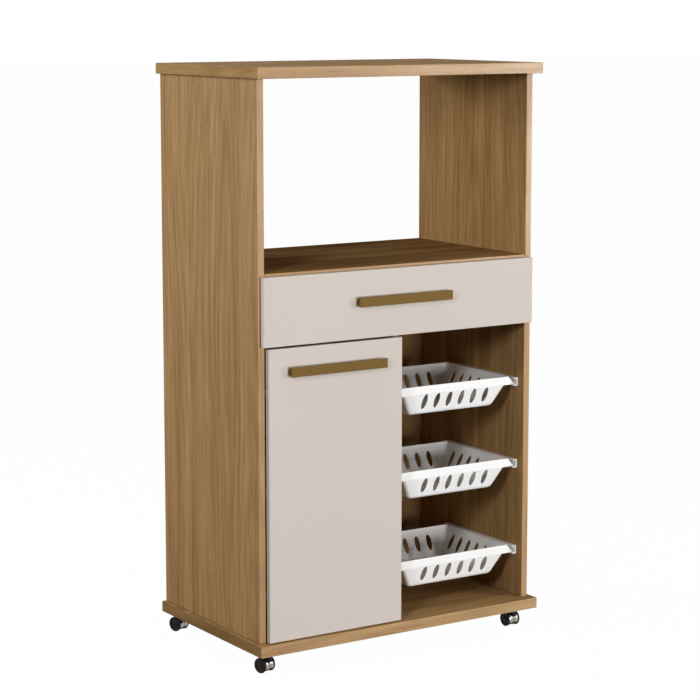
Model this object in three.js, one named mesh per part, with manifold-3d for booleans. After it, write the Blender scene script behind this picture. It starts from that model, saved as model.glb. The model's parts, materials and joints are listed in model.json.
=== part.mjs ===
// Mobile kitchen cabinet on casters: open niche, drawer, door and three slide-out baskets.
// Millimetres, +Z up, front towards -Y, origin on the floor under the middle of the outline.
import * as THREE from "three";
import { mergeVertices } from "three/addons/utils/BufferGeometryUtils.js";
import Module from "manifold-3d";

const wasm = await Module();
wasm.setup();

// Carcass of laminated board.
const boardWidth = 680;
const boardDepth = 410;
const boardThickness = 22;
const carcassHeight = 1150;
const casterHeight = 43;
const panelThickness = 15;
const sideInset = 10;
const frontSetback = 22;
const nicheHeight = 374;
const basketBayWidth = 317.5;
const edgeEase = 0.8;
const seam = 0.3;
const overrun = 5;

// Back panel let into grooves of the two side panels.
const backThickness = 3;
const backInset = 10;
const backGrooveDepth = 6;

// Drawer and door fronts, held just off the panel edges by buffers.
const frontThickness = 12;
const frontStandOff = 1;
const drawerFrontHeight = 136.5;
const drawerFrontDrop = 5.5;
const drawerFrontInset = 5;
const frontsGap = 4;
const doorBottomGap = 2;
const doorSideGap = 0.5;
const doorOverlap = 0.5;

// Flared bar handle.
const handleLength = 224;
const handleHeight = 19.5;
const handleRootHeight = 9;
const handleProjection = 14;
const handleLip = 3;
const handleEase = 0.8;
const drawerHandleRise = 6.5;
const doorHandleDrop = 46.5;

// Drawer box on grooved sides.
const drawerFloorRise = 2;
const drawerFloorClearance = 5;
const drawerBoxHeight = 92;
const drawerBoxDepth = 360;
const drawerBoardThickness = 12;
const drawerSideGap = 1.5;
const drawerBottomThickness = 3;
const drawerBottomRise = 8;
const drawerBottomGrooveDepth = 4;
const runnerHeight = 16;
const runnerLength = 330;
const runnerSetback = 14;
const runnerGrooveDepth = 6;
const runnerPlay = 0.5;
const runnerRise = 38;

// Shelf behind the door, on pins.
const innerShelfShare = 0.49;
const innerShelfSetback = 25;
const pinRadius = 2.5;
const pinSink = 8;
const pinReach = 8;
const pinEdgeDistance = 40;

// Cup hinges.
const cupRadius = 13;
const cupWall = 1;
const cupDepth = 9.5;
const cupEdgeDistance = 5;
const cupFlangeThickness = 1;
const cupFlangeHeight = 48;
const cupFlangeWidth = 14;
const cupScrewRadius = 2;
const cupScrewSpacing = 38;
const hingeEndDistance = 90;
const hingePlateHeight = 44;
const hingePlateDepth = 34;
const hingePlateThickness = 3;
const hingePlateSetback = 37;
const hingePlateCut = 13;
const hingeScrewRadius = 2.5;
const hingeScrewSpacing = 32;
const hingeArmHeight = 12;
const hingeArmLift = 7;
const hingeArmThickness = 3;
const hingeArmReach = 16;
const hingeTipThickness = 4;
const hingeTipSink = 6;
const hingePinRadius = 1.8;
const hingePinOffset = 2;

// Basket rails of white plastic, a channel open to the bay.
const railDepth = 10;
const railHeight = 18;
const railWall = 3;
const railLength = 250;
const railSetback = 20;

// Slotted baskets: tapered tub, folded skirt and upright oval slots.
const basketHeight = 61.5;
const basketRimDepth = 224;
const basketRimSetback = 22;
const basketTipClearance = 6.2;
const basketWall = 2;
const basketCornerRadius = 7;
const skirtHeight = 18;
const skirtFlare = 14;
const skirtWall = 2;
const skirtStep = 2.5;
const skirtCornerRadius = 1;
const tubSideTaper = 34;
const tubFrontTaper = 17.5;
const tubBackTaper = 30;
const slotLength = 32;
const slotWidth = 13.2;
const slotCount = 6;
const slotPitch = 30.7;
const sideSlotPitch = 29.3;
const slotShift = 3.5;
const slotHeight = 31.5;
const frontSlotHeight = 27.4;
const frontSlotLean = 7.5;
const basketRimShares = { basket_top: 0.8, basket_middle: 0.504, basket_bottom: 0.189 };

// Twin-wheel casters with a hood over the treads.
const casterInsetX = 37.5;
const casterFrontInset = 33;
const casterBackInset = 24.5;
const casterTurns = { front_left: 16, front_right: 1, back_left: 20, back_right: 6 };
const wheelRadius = 15.5;
const treadRadius = 13.9;
const wheelFlange = 3.4;
const treadWidth = 8.3;
const wheelRecess = 1;
const wheelRimWidth = 3.2;
const wheelHubRadius = 5.4;
const wheelEase = 1.2;
const axleRadius = 2;
const casterTrail = 12;
const hoodWall = 1.2;
const hoodClearance = 0.4;
const hoodFrontAngle = -30;
const hoodBackAngle = 150;
const webThickness = 6;
const webHubRadius = 6;
const stemBossRadius = 5.5;
const stemBossHeight = 17;
const kingpinRadius = 3;
const casterPlateSize = 38;
const casterPlateThickness = 2;
const casterPlateCorner = 3;
const casterScrewRadius = 2.2;
const casterScrewSpacing = 27;

// Facet counts.
const wheelSegments = 20;
const hoodSegments = 7;
const smallSegments = 10;
const cupSegments = 18;
const slotSegments = 6;
const cornerSegments = 3;

// Places that follow from the sizes above.
const frontFaceSetback = frontSetback - frontStandOff - frontThickness;
const handleReach = Math.max(handleProjection - frontFaceSetback, 0);
const boardFrontY = (handleReach - boardDepth) / 2;
const boardBackY = boardFrontY + boardDepth;
const panelFrontY = boardFrontY + frontSetback;
const frontBackY = panelFrontY - frontStandOff;
const frontFaceY = frontBackY - frontThickness;
const outerX = boardWidth / 2 - sideInset;
const innerX = outerX - panelThickness;
const dividerRightX = innerX - basketBayWidth;
const dividerLeftX = dividerRightX - panelThickness;
const bayCentreX = (innerX + dividerRightX) / 2;
const baseBottomZ = casterHeight;
const baseTopZ = baseBottomZ + boardThickness;
const topZ = baseBottomZ + carcassHeight;
const topBottomZ = topZ - boardThickness;
const shelfTopZ = topBottomZ - nicheHeight;
const shelfBottomZ = shelfTopZ - panelThickness;
const drawerFrontTopZ = shelfTopZ - drawerFrontDrop;
const drawerFrontBottomZ = drawerFrontTopZ - drawerFrontHeight;
const drawerFloorBottomZ = drawerFrontBottomZ + drawerFloorRise;
const drawerFloorTopZ = drawerFloorBottomZ + panelThickness;
const doorTopZ = drawerFrontBottomZ - frontsGap;
const doorBottomZ = baseTopZ + doorBottomGap;
const bayHeight = drawerFloorBottomZ - baseTopZ;
const innerShelfZ = baseTopZ + bayHeight * innerShelfShare;
const doorLeftX = -innerX + doorSideGap;
const doorRightX = dividerRightX + doorOverlap;
const backGap = backThickness + seam * 2;
const backPanelY = [boardBackY - backInset - seam - backThickness, boardBackY - backInset - seam];
const innerBackY = backPanelY[0] - seam;

// Finishes, one fresh material for each piece.
const finishes = {
  wood: { color: 0xa27f56, roughness: 0.55, metalness: 0 },
  backing: { color: 0x8a673f, roughness: 0.7, metalness: 0 },
  satin: { color: 0xd6ccc2, roughness: 0.4, metalness: 0 },
  brass: { color: 0x8a7040, roughness: 0.35, metalness: 0.8 },
  whitePlastic: { color: 0xf0efec, roughness: 0.45, metalness: 0 },
  steel: { color: 0xb8b8b6, roughness: 0.35, metalness: 1 },
  chrome: { color: 0xdcdcdc, roughness: 0.12, metalness: 1 },
  blackPlastic: { color: 0x1c1a19, roughness: 0.5, metalness: 0 },
};
const cabinet = new THREE.Group();

// Closed geometry to solid and back.
function solidOf(geometry) {
  const bare = geometry.clone();
  bare.deleteAttribute("normal");
  bare.deleteAttribute("uv");
  const merged = mergeVertices(bare);
  const places = merged.attributes.position.array;
  const corners = merged.index.array;
  return new wasm.Manifold(new wasm.Mesh({ numProp: 3, vertProperties: places, triVerts: corners }));
}

function geometryOf(solid) {
  const mesh = solid.getMesh();
  const geometry = new THREE.BufferGeometry();
  geometry.setAttribute("position", new THREE.BufferAttribute(mesh.vertProperties, 3));
  geometry.setIndex(new THREE.BufferAttribute(mesh.triVerts, 1));
  return geometry;
}

// Two places along an axis, the lower one first.
function ordered(a, b) {
  return a < b ? [a, b] : [b, a];
}

function joined(solids) {
  return solids.reduce((whole, piece) => whole.add(piece));
}

function without(solid, cuts) {
  return cuts.reduce((rest, cut) => rest.subtract(cut), solid);
}

function addPiece(name, shape, finish, parent = cabinet) {
  const geometry = shape instanceof THREE.BufferGeometry ? shape : geometryOf(shape);
  const mesh = new THREE.Mesh(geometry, new THREE.MeshStandardMaterial(finishes[finish]));
  mesh.name = name;
  parent.add(mesh);
  return mesh;
}

// Box between two places on each axis, its edges eased all round.
function easedBox(xs, ys, zs, ease = edgeEase) {
  const shape = new THREE.Shape();
  const [left, right] = [xs[0] + ease, xs[1] - ease];
  const [near, far] = [ys[0] + ease, ys[1] - ease];
  shape.moveTo(left + ease, near);
  shape.lineTo(right - ease, near);
  shape.lineTo(right, near + ease);
  shape.lineTo(right, far - ease);
  shape.lineTo(right - ease, far);
  shape.lineTo(left + ease, far);
  shape.lineTo(left, far - ease);
  shape.lineTo(left, near + ease);
  shape.closePath();
  const bevel = { bevelEnabled: true, bevelSize: ease, bevelThickness: ease, bevelSegments: 1 };
  const geometry = new THREE.ExtrudeGeometry(shape, { depth: zs[1] - zs[0] - ease * 2, ...bevel });
  return geometry.translate(0, 0, zs[0] + ease);
}

// Plain box between two places on each axis, for cuts.
function box(xs, ys, zs) {
  const geometry = new THREE.BoxGeometry(xs[1] - xs[0], ys[1] - ys[0], zs[1] - zs[0]);
  geometry.translate((xs[0] + xs[1]) / 2, (ys[0] + ys[1]) / 2, (zs[0] + zs[1]) / 2);
  return solidOf(geometry);
}

// Round bar from one place to the other along X, Y or Z.
function bar(radius, axis, from, to, [a, b], segments = smallSegments) {
  const geometry = new THREE.CylinderGeometry(radius, radius, to - from, segments);
  const middle = (from + to) / 2;
  if (axis === "x") {
    geometry.rotateZ(Math.PI / 2).translate(middle, a, b);
  }
  if (axis === "y") {
    geometry.translate(a, middle, b);
  }
  if (axis === "z") {
    geometry.rotateX(Math.PI / 2).translate(a, b, middle);
  }
  return solidOf(geometry);
}

// Outline in Y and Z carried along X.
function alongX(outline, from, to) {
  const geometry = new THREE.ExtrudeGeometry(outline, { depth: to - from, bevelEnabled: false });
  return geometry.rotateX(Math.PI / 2).rotateZ(Math.PI / 2).translate(from, 0, 0);
}

// Outline in X and Z carried along Y.
function alongY(outline, from, to) {
  const geometry = new THREE.ExtrudeGeometry(outline, { depth: to - from, bevelEnabled: false });
  return geometry.rotateX(Math.PI / 2).translate(0, to, 0);
}

function outlineOf(points) {
  return new THREE.Shape(points.map(([a, b]) => new THREE.Vector2(a, b)));
}

// Ring of points round a rectangle with rounded corners.
function roundedRing(xs, ys, radius) {
  const ring = [];
  const corners = [
    [xs[1] - radius, ys[0] + radius, -Math.PI / 2],
    [xs[1] - radius, ys[1] - radius, 0],
    [xs[0] + radius, ys[1] - radius, Math.PI / 2],
    [xs[0] + radius, ys[0] + radius, Math.PI],
  ];
  for (const [x, y, start] of corners) {
    for (let step = 0; step <= cornerSegments; step += 1) {
      const angle = start + (step / cornerSegments) * (Math.PI / 2);
      ring.push([x + radius * Math.cos(angle), y + radius * Math.sin(angle)]);
    }
  }
  return ring;
}

// Closed loft through rounded rectangles, lowest level first.
function loft(levels) {
  const rings = levels.map(({ xs, ys, radius }) => roundedRing(xs, ys, radius));
  const count = rings[0].length;
  const places = [];
  const corners = [];
  rings.forEach((ring, level) => ring.forEach(([x, y]) => places.push(x, y, levels[level].z)));
  for (let level = 0; level + 1 < rings.length; level += 1) {
    for (let step = 0; step < count; step += 1) {
      const next = (step + 1) % count;
      const [low, high] = [level * count, (level + 1) * count];
      corners.push(low + step, low + next, high + next);
      corners.push(low + step, high + next, high + step);
    }
  }
  const last = (rings.length - 1) * count;
  for (let step = 1; step + 1 < count; step += 1) {
    corners.push(0, step + 1, step);
    corners.push(last, last + step, last + step + 1);
  }
  const geometry = new THREE.BufferGeometry();
  geometry.setAttribute("position", new THREE.Float32BufferAttribute(places, 3));
  geometry.setIndex(corners);
  return solidOf(geometry);
}

// Top board, base board, side panels, divider and shelves.
function addBoards() {
  const fullX = [-boardWidth / 2, boardWidth / 2];
  const fullY = [boardFrontY, boardBackY];
  addPiece("top_board", easedBox(fullX, fullY, [topBottomZ, topZ]), "wood");
  addPiece("base_board", easedBox(fullX, fullY, [baseBottomZ, baseTopZ]), "wood");
  const between = [-innerX + seam, innerX - seam];
  addPiece("niche_shelf", easedBox(between, [panelFrontY, boardBackY], [shelfBottomZ, shelfTopZ]), "wood");
  const floorY = [panelFrontY, innerBackY];
  addPiece("drawer_floor", easedBox(between, floorY, [drawerFloorBottomZ, drawerFloorTopZ]), "wood");
  for (const [name, side] of [["side_panel_left", -1], ["side_panel_right", 1]]) {
    addPiece(name, sidePanel(side), "wood");
  }
  const dividerX = [dividerLeftX, dividerRightX];
  const dividerZ = [baseTopZ + seam, drawerFloorBottomZ - seam];
  const divider = solidOf(easedBox(dividerX, floorY, dividerZ));
  addPiece("divider_panel", without(divider, pinHoles(dividerLeftX, 1)), "wood");
  const backX = innerX + backGrooveDepth - seam;
  const backZ = [baseTopZ + seam, shelfBottomZ - seam];
  addPiece("back_panel", easedBox([-backX, backX], backPanelY, backZ, seam), "backing");
}

// Side panel with the back panel's groove and, on the left, the shelf pin holes.
function sidePanel(side) {
  const xs = ordered(innerX * side, outerX * side);
  const panel = solidOf(easedBox(xs, [panelFrontY, boardBackY], [baseTopZ + seam, topBottomZ - seam]));
  const grooveX = ordered((innerX - overrun) * side, (innerX + backGrooveDepth) * side);
  const grooveY = [backPanelY[0] - seam, backPanelY[0] - seam + backGap];
  const groove = box(grooveX, grooveY, [baseTopZ - overrun, shelfBottomZ]);
  const holes = side < 0 ? pinHoles(-innerX, -1) : [];
  return without(panel, [groove, ...holes]);
}

// Depths at which the four shelf pins stand.
function pinDepths() {
  const front = panelFrontY + innerShelfSetback;
  return [front + pinEdgeDistance, innerBackY - pinEdgeDistance];
}

function pinHoles(faceX, into) {
  const height = pinHeight();
  const span = ordered(faceX - overrun * into, faceX + (pinSink + seam) * into);
  return pinDepths().map((y) => bar(pinRadius + seam, "x", span[0], span[1], [y, height]));
}

function pinHeight() {
  return innerShelfZ - seam - pinRadius;
}

// Shelf behind the door with its four pins.
function addInnerShelf() {
  const xs = [-innerX + seam, dividerLeftX - seam];
  const ys = [panelFrontY + innerShelfSetback, innerBackY];
  addPiece("inner_shelf", easedBox(xs, ys, [innerShelfZ, innerShelfZ + panelThickness]), "wood");
  for (const [sideName, faceX, into] of [["left", -innerX, -1], ["right", dividerLeftX, 1]]) {
    pinDepths().forEach((y, index) => {
      const ends = ordered(faceX + pinSink * into, faceX - pinReach * into);
      const pin = bar(pinRadius, "x", ends[0], ends[1], [y, pinHeight()]);
      addPiece(`shelf_pin_${sideName}_${index ? "back" : "front"}`, pin, "steel");
    });
  }
}

// Bar handle: a narrow root on the front, flared to a flat face with a square lip.
function handleBar(centreX, centreZ) {
  const [root, face] = [handleRootHeight / 2, handleHeight / 2];
  const backY = frontFaceY - seam;
  const faceY = frontFaceY - handleProjection;
  const outline = outlineOf([
    [backY, centreZ - root],
    [backY, centreZ + root],
    [faceY + handleLip, centreZ + face],
    [faceY + handleEase, centreZ + face],
    [faceY, centreZ + face - handleEase],
    [faceY, centreZ - face + handleEase],
    [faceY + handleEase, centreZ - face],
    [faceY + handleLip, centreZ - face],
  ]);
  return alongX(outline, centreX - handleLength / 2, centreX + handleLength / 2);
}

// Door, with the cups of its two hinges let into its back.
function addDoor() {
  const xs = [doorLeftX, doorRightX];
  const panel = solidOf(easedBox(xs, [frontFaceY, frontBackY], [doorBottomZ, doorTopZ]));
  const heights = { upper: doorTopZ - hingeEndDistance, lower: doorBottomZ + hingeEndDistance };
  const cupX = doorLeftX + cupEdgeDistance + cupRadius;
  const boreY = frontBackY - cupDepth - seam;
  const bores = Object.values(heights).map((z) => (
    bar(cupRadius + seam, "y", boreY, frontBackY + overrun, [cupX, z], cupSegments)
  ));
  addPiece("door_panel", without(panel, bores), "satin");
  addPiece("door_handle", handleBar((doorLeftX + doorRightX) / 2, doorTopZ - doorHandleDrop), "brass");
  for (const [name, z] of Object.entries(heights)) {
    addPiece(`hinge_cup_${name}`, hingeCup(cupX, z), "steel");
    addPiece(`hinge_plate_${name}`, hingePlate(z), "steel");
    addPiece(`hinge_arm_${name}`, hingeArm(cupX, z), "steel");
  }
}

// Sunk cup with its flange on the back of the door.
function hingeCup(x, z) {
  const flangeFrontY = frontBackY + seam;
  const flangeBackY = flangeFrontY + cupFlangeThickness;
  const cup = bar(cupRadius, "y", frontBackY - cupDepth, flangeBackY, [x, z], cupSegments);
  const halfHeight = cupFlangeHeight / 2;
  const flangeX = [x - cupFlangeWidth / 2, x + cupFlangeWidth / 2];
  const flange = box(flangeX, [flangeFrontY, flangeBackY], [z - halfHeight, z + halfHeight]);
  const hollowY = frontBackY - cupDepth + cupWall;
  const hollow = bar(cupRadius - cupWall, "y", hollowY, flangeBackY + overrun, [x, z], cupSegments);
  const screwHoles = [-1, 1].map((side) => {
    const holeZ = z + (side * cupScrewSpacing) / 2;
    return bar(cupScrewRadius, "y", flangeFrontY - overrun, flangeBackY + overrun, [x, holeZ]);
  });
  return without(joined([cup, flange]), [hollow, ...screwHoles]);
}

// Cross-shaped mounting plate on the inner face of the left panel.
function hingePlate(z) {
  const xs = [-innerX + seam, -innerX + seam + hingePlateThickness];
  const y = panelFrontY + hingePlateSetback;
  const [halfDepth, halfHeight, cut] = [hingePlateDepth / 2, hingePlateHeight / 2, hingePlateCut];
  const outline = outlineOf([
    [y - halfDepth, z - halfHeight + cut], [y - halfDepth, z + halfHeight - cut],
    [y - halfDepth + cut, z + halfHeight - cut], [y - halfDepth + cut, z + halfHeight],
    [y + halfDepth - cut, z + halfHeight], [y + halfDepth - cut, z + halfHeight - cut],
    [y + halfDepth, z + halfHeight - cut], [y + halfDepth, z - halfHeight + cut],
    [y + halfDepth - cut, z - halfHeight + cut], [y + halfDepth - cut, z - halfHeight],
    [y - halfDepth + cut, z - halfHeight], [y - halfDepth + cut, z - halfHeight + cut],
  ]);
  const plate = solidOf(alongX(outline, xs[0], xs[1]));
  const holes = [-1, 1].map((side) => {
    const holeZ = z + (side * hingeScrewSpacing) / 2;
    return bar(hingeScrewRadius, "x", xs[0] - overrun, xs[1] + overrun, [y, holeZ]);
  });
  return without(plate, holes);
}

// Cranked arm from the mounting plate into the cup, with the pin that spans the cup.
function hingeArm(cupX, z) {
  const plateFaceX = -innerX + seam + hingePlateThickness + seam;
  const crownX = plateFaceX + hingeArmLift;
  const plateY = panelFrontY + hingePlateSetback;
  const armBackY = plateY + hingePlateDepth / 2;
  const armFrontY = plateY - hingePlateDepth / 2;
  const crankY = panelFrontY + seam;
  const pinX = cupX + hingePinOffset;
  const tipX = pinX - hingeTipThickness / 2;
  const tipY = frontBackY - hingeTipSink;
  const points = [
    [plateFaceX, armBackY],
    [plateFaceX, armFrontY],
    [crownX - hingeArmThickness, armFrontY - hingeArmThickness],
    [tipX, crankY + hingeArmReach / 2],
    [tipX, tipY],
    [tipX + hingeTipThickness, tipY],
    [tipX + hingeTipThickness, crankY + hingeArmReach],
    [crownX, armFrontY + hingeArmThickness],
    [crownX, armBackY],
  ];
  const along = { depth: hingeArmHeight, bevelEnabled: false };
  const geometry = new THREE.ExtrudeGeometry(outlineOf(points), along);
  const arm = solidOf(geometry.translate(0, 0, z - hingeArmHeight / 2));
  const reach = cupRadius - cupWall - seam * 2;
  const halfPin = Math.sqrt(reach ** 2 - (hingePinOffset + hingePinRadius) ** 2);
  const pin = bar(hingePinRadius, "z", z - halfPin, z + halfPin, [pinX, tipY + hingePinRadius]);
  return joined([arm, pin]);
}

// Drawer box, front and handle, and the runners on the side panels.
function addDrawer() {
  const frontX = outerX - drawerFrontInset;
  const frontZ = [drawerFrontBottomZ, drawerFrontTopZ];
  addPiece("drawer_front", easedBox([-frontX, frontX], [frontFaceY, frontBackY], frontZ), "satin");
  const handleZ = (drawerFrontTopZ + drawerFrontBottomZ) / 2 + drawerHandleRise;
  addPiece("drawer_handle", handleBar(0, handleZ), "brass");
  const sideOuterX = innerX - drawerSideGap;
  const sideInnerX = sideOuterX - drawerBoardThickness;
  const boxY = [frontBackY + seam, frontBackY + seam + drawerBoxDepth];
  const boxBottomZ = drawerFloorTopZ + drawerFloorClearance;
  const boxTopZ = boxBottomZ + drawerBoxHeight;
  const bottomZ = [boxBottomZ + drawerBottomRise, boxBottomZ + drawerBottomRise + drawerBottomThickness];
  const runnerZ = boxBottomZ + runnerRise;
  for (const [name, side] of [["left", -1], ["right", 1]]) {
    const xs = ordered(sideInnerX * side, sideOuterX * side);
    const board = solidOf(easedBox(xs, boxY, [boxBottomZ, boxTopZ]));
    const runnerGrooveX = ordered((sideOuterX - runnerGrooveDepth) * side, (sideOuterX + overrun) * side);
    const runnerGrooveY = [panelFrontY + runnerSetback - runnerPlay, boxY[1] + overrun];
    const runnerGrooveZ = [runnerZ - runnerPlay, runnerZ + runnerHeight + seam];
    const runnerGroove = box(runnerGrooveX, runnerGrooveY, runnerGrooveZ);
    const bottomGrooveEnd = sideInnerX + drawerBottomGrooveDepth;
    const bottomGrooveX = ordered((sideInnerX - overrun) * side, bottomGrooveEnd * side);
    const bottomGrooveZ = [bottomZ[0] - seam, bottomZ[1] + seam];
    const bottomGrooveY = [boxY[0] - overrun, boxY[1] + overrun];
    const bottomGroove = box(bottomGrooveX, bottomGrooveY, bottomGrooveZ);
    addPiece(`drawer_side_${name}`, without(board, [runnerGroove, bottomGroove]), "wood");
    addPiece(`drawer_runner_${name}`, drawerRunner(side, runnerZ), "whitePlastic");
  }
  const bottomX = sideInnerX + drawerBottomGrooveDepth - seam;
  addPiece("drawer_bottom", easedBox([-bottomX, bottomX], boxY, bottomZ, seam), "backing");
  const backX = sideInnerX - seam;
  const backY = [boxY[1] - drawerBoardThickness, boxY[1]];
  addPiece("drawer_back", easedBox([-backX, backX], backY, [bottomZ[1] + seam, boxTopZ]), "wood");
}

// Runner strip with round ends, screwed to the side panel.
function drawerRunner(side, bottomZ) {
  const radius = runnerHeight / 2;
  const frontY = panelFrontY + runnerSetback;
  const backY = frontY + runnerLength;
  const centreZ = bottomZ + radius;
  const outline = new THREE.Shape();
  outline.absarc(frontY + radius, centreZ, radius, Math.PI / 2, (Math.PI * 3) / 2, false);
  outline.absarc(backY - radius, centreZ, radius, -Math.PI / 2, Math.PI / 2, false);
  const outer = innerX - seam;
  const inner = innerX - drawerSideGap - runnerGrooveDepth + runnerPlay;
  const xs = ordered(inner * side, outer * side);
  return alongX(new THREE.Shape(outline.getPoints(smallSegments / 2)), xs[0], xs[1]);
}

// One basket's pair of rails and the basket hanging in them.
function addBasket(name, rimShare) {
  const rimZ = baseTopZ + bayHeight * rimShare;
  const railTopZ = rimZ - skirtHeight - seam - railWall + railHeight;
  const faces = [["left", dividerRightX, 1], ["right", innerX, -1]];
  for (const [sideName, faceX, towards] of faces) {
    const railName = `${name.replace("basket", "rail")}_${sideName}`;
    addPiece(railName, basketRail(faceX, towards, railTopZ), "whitePlastic");
  }
  const tub = new THREE.Group();
  tub.position.set(bayCentreX, panelFrontY + basketRimSetback, rimZ - basketHeight);
  cabinet.add(tub);
  addPiece(name, basketShell(), "whitePlastic", tub);
}

function basketRail(faceX, towards, topZ) {
  const bottomZ = topZ - railHeight;
  const x = (distance) => faceX + towards * (seam + distance);
  const outline = outlineOf([
    [x(0), bottomZ],
    [x(railDepth), bottomZ],
    [x(railDepth), bottomZ + railWall],
    [x(railWall), bottomZ + railWall],
    [x(railWall), topZ - railWall],
    [x(railDepth), topZ - railWall],
    [x(railDepth), topZ],
    [x(0), topZ],
  ]);
  const frontY = panelFrontY + railSetback;
  return alongY(outline, frontY, frontY + railLength);
}

// Tub and skirt as lofts, with the slots cut through all four walls.
function basketShell() {
  const tipX = basketBayWidth / 2 - basketTipClearance;
  const rimX = tipX - skirtFlare;
  const bandZ = basketHeight - skirtHeight;
  const sideSlope = tubSideTaper / basketHeight;
  const backSlope = tubBackTaper / basketHeight;
  const level = (z, halfX, nearY, farY, inset, radius) => ({
    z,
    xs: [-halfX + inset, halfX - inset],
    ys: [nearY + inset, farY - inset],
    radius,
  });
  const tub = (inset, bottomZ, topZ) => loft([
    level(bottomZ, rimX - tubSideTaper, tubFrontTaper, basketRimDepth - tubBackTaper,
      inset, basketCornerRadius),
    level(bandZ, rimX - sideSlope * skirtHeight, skirtStep, basketRimDepth - backSlope * skirtHeight,
      inset, basketCornerRadius),
    level(topZ, rimX, skirtStep / 2, basketRimDepth, inset, basketCornerRadius),
  ]);
  const skirtOuter = loft([
    level(bandZ, tipX, 0, basketRimDepth, 0, skirtCornerRadius),
    level(basketHeight, rimX, 0, basketRimDepth, 0, basketCornerRadius),
  ]);
  const skirtInner = loft([
    level(bandZ - overrun, tipX + (skirtFlare * overrun) / skirtHeight, 0, basketRimDepth,
      skirtWall, skirtCornerRadius),
    level(basketHeight - skirtWall, rimX + (skirtFlare * skirtWall) / skirtHeight, 0, basketRimDepth,
      skirtWall, basketCornerRadius),
  ]);
  const outer = joined([skirtOuter.subtract(skirtInner), tub(0, 0, basketHeight)]);
  const inner = tub(basketWall, basketWall, basketHeight + seam);
  return without(outer, [inner, ...slotCuts(rimX)]);
}

// Oval slots, a row through each wall from its outer side, clear of the skirt. The front ones lean.
function slotCuts(rimX) {
  const oval = new THREE.Shape();
  oval.absellipse(0, 0, slotWidth / 2, slotLength / 2, 0, Math.PI * 2, false, 0);
  const slot = new THREE.Shape(oval.getPoints(slotSegments).slice(1));
  const sideRowY = basketRimDepth / 2 + (tubFrontTaper - tubBackTaper) / 4;
  const backRowY = basketRimDepth - skirtWall - seam;
  const [front, back, side] = [tubFrontTaper, tubBackTaper, tubSideTaper].map((taper) => taper + overrun);
  const rows = [
    { turn: 0, x: slotShift, y: 0, height: frontSlotHeight, pitch: slotPitch, depth: front,
      lean: frontSlotLean },
    { turn: 180, x: slotShift, y: backRowY, height: slotHeight, pitch: slotPitch, depth: back, lean: 0 },
    { turn: 90, x: rimX, y: sideRowY, height: slotHeight, pitch: sideSlotPitch, depth: side, lean: 0 },
    { turn: 270, x: -rimX, y: sideRowY, height: slotHeight, pitch: sideSlotPitch, depth: side,
      lean: 0 },
  ];
  const cuts = [];
  for (const { turn, x, y, height, pitch, depth, lean } of rows) {
    for (let index = 0; index < slotCount; index += 1) {
      const geometry = new THREE.ExtrudeGeometry(slot, { depth, bevelEnabled: false });
      geometry.translate(0, 0, -depth).rotateX(Math.PI / 2).rotateY(THREE.MathUtils.degToRad(lean));
      geometry.translate((index - (slotCount - 1) / 2) * pitch, 0, height);
      geometry.rotateZ(THREE.MathUtils.degToRad(turn)).translate(x, y, 0);
      cuts.push(solidOf(geometry));
    }
  }
  return cuts;
}

// Wheel turned about its axle, with a flange on its outer side and a blind bore.
function wheelGeometry() {
  const inner = webThickness / 2 + seam;
  const flange = inner + treadWidth;
  const outer = flange + wheelFlange;
  const bore = axleRadius + seam;
  const boreEnd = outer - wheelFlange / 2;
  const rimInner = wheelRadius - wheelRimWidth;
  const profile = [
    [0, boreEnd],
    [bore, boreEnd],
    [bore, inner],
    [treadRadius, inner],
    [treadRadius, flange],
    [wheelRadius, flange],
    [wheelRadius, outer - wheelEase],
    [wheelRadius - wheelEase, outer],
    [rimInner, outer],
    [rimInner - wheelRecess, outer - wheelRecess],
    [wheelHubRadius + wheelRecess, outer - wheelRecess],
    [wheelHubRadius, outer],
    [0, outer],
  ];
  const points = profile.reverse().map(([radius, along]) => new THREE.Vector2(radius, -along));
  return new THREE.LatheGeometry(points, wheelSegments).rotateZ(Math.PI / 2);
}

// Hood shell over both treads, web between the wheels, stem boss and kingpin.
function casterHood() {
  const axle = [casterTrail, wheelRadius];
  const innerRadius = treadRadius + hoodClearance;
  const outerRadius = innerRadius + hoodWall;
  const halfWidth = webThickness / 2 + treadWidth;
  const start = Math.PI - THREE.MathUtils.degToRad(hoodBackAngle);
  const end = Math.PI - THREE.MathUtils.degToRad(hoodFrontAngle);
  const shell = new THREE.Shape();
  shell.absarc(axle[0], axle[1], outerRadius, start, end, false);
  shell.absarc(axle[0], axle[1], innerRadius, end, start, true);
  const shellGeometry = alongX(new THREE.Shape(shell.getPoints(hoodSegments)), -halfWidth, halfWidth);
  const bossTopZ = casterHeight - seam * 2 - casterPlateThickness;
  const boss = bar(stemBossRadius, "z", bossTopZ - stemBossHeight, bossTopZ, [0, 0], wheelSegments);
  const kingpin = bar(kingpinRadius, "z", bossTopZ - seam, casterHeight - seam * 2, [0, 0]);
  const spaceEnd = halfWidth + overrun;
  const wheelSpace = bar(innerRadius, "x", -spaceEnd, spaceEnd, axle, wheelSegments * 2);
  const web = new THREE.Shape();
  web.absarc(axle[0], axle[1], innerRadius + hoodWall / 2, start, end, false);
  web.lineTo(axle[0], axle[1] - webHubRadius);
  web.closePath();
  const webEnd = webThickness / 2;
  const webPlate = solidOf(alongX(new THREE.Shape(web.getPoints(hoodSegments)), -webEnd, webEnd));
  const hub = bar(webHubRadius, "x", -webEnd, webEnd, axle, wheelSegments);
  const axleBore = bar(axleRadius + seam, "x", -halfWidth, halfWidth, axle, smallSegments);
  const body = joined([boss, kingpin]).subtract(wheelSpace);
  return joined([solidOf(shellGeometry), body, webPlate, hub]).subtract(axleBore);
}

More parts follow.
